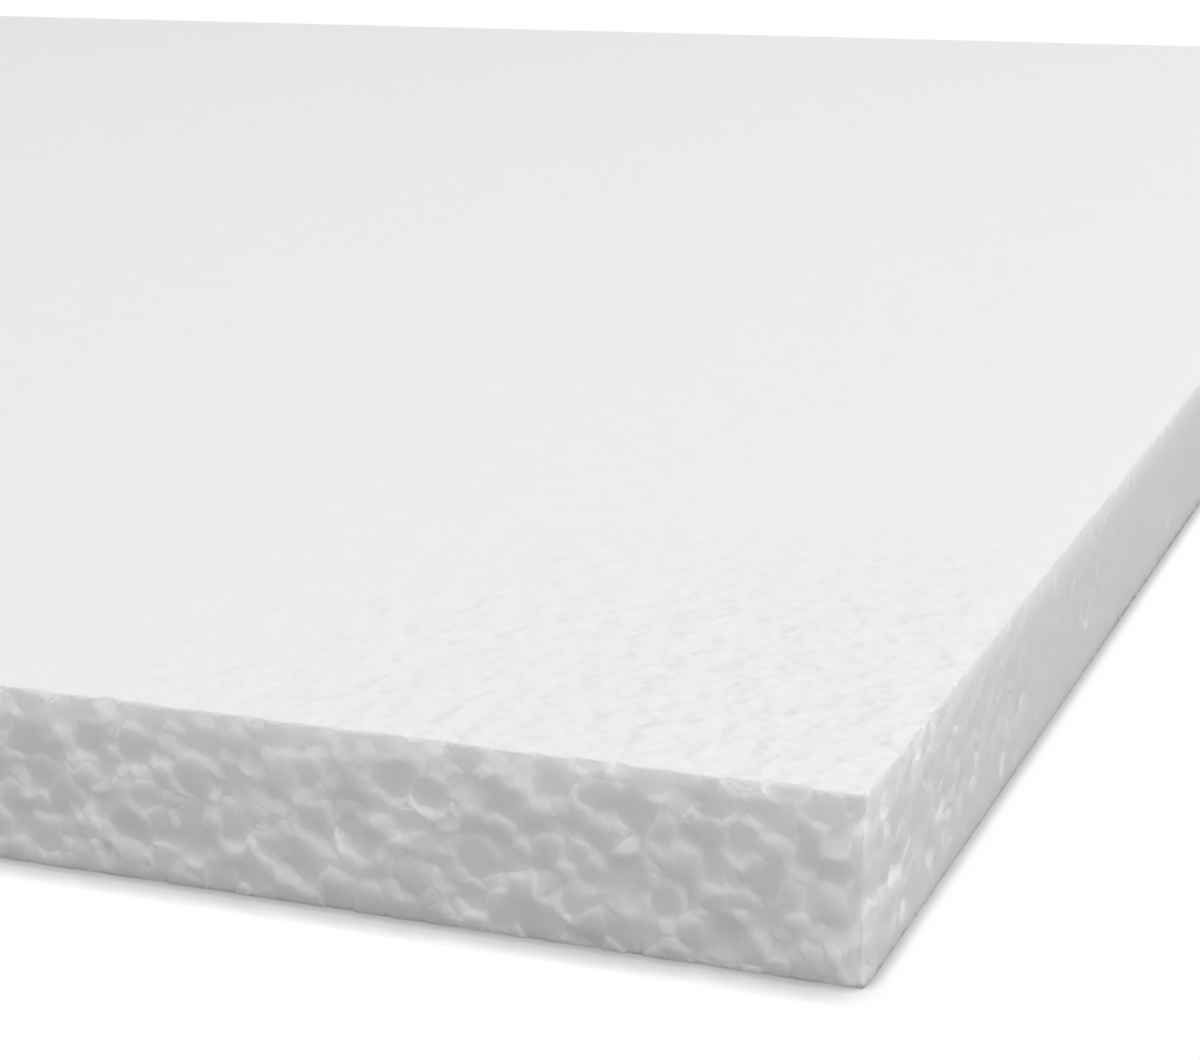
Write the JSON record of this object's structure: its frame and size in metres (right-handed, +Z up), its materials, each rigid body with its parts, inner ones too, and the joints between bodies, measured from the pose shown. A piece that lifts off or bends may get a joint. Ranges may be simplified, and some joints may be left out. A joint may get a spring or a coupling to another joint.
{
  "type": "polystyrene foam board",
  "caption": "Flat rectangular board of white expanded polystyrene foam, with smooth faces and beaded cut sides, for insulation, packing and model making.",
  "frame": {"origin": "centre of the board's bottom face", "axes": "+X along the length, +Y along the width away from the front cut side, +Z up through the thickness"},
  "size_m": [1.2, 0.6, 0.02],
  "materials": {
    "foam": "matte white bead foam"
  },
  "bodies": {
    "root": {"foam_board": "foam"}
  },
  "joints": []
}
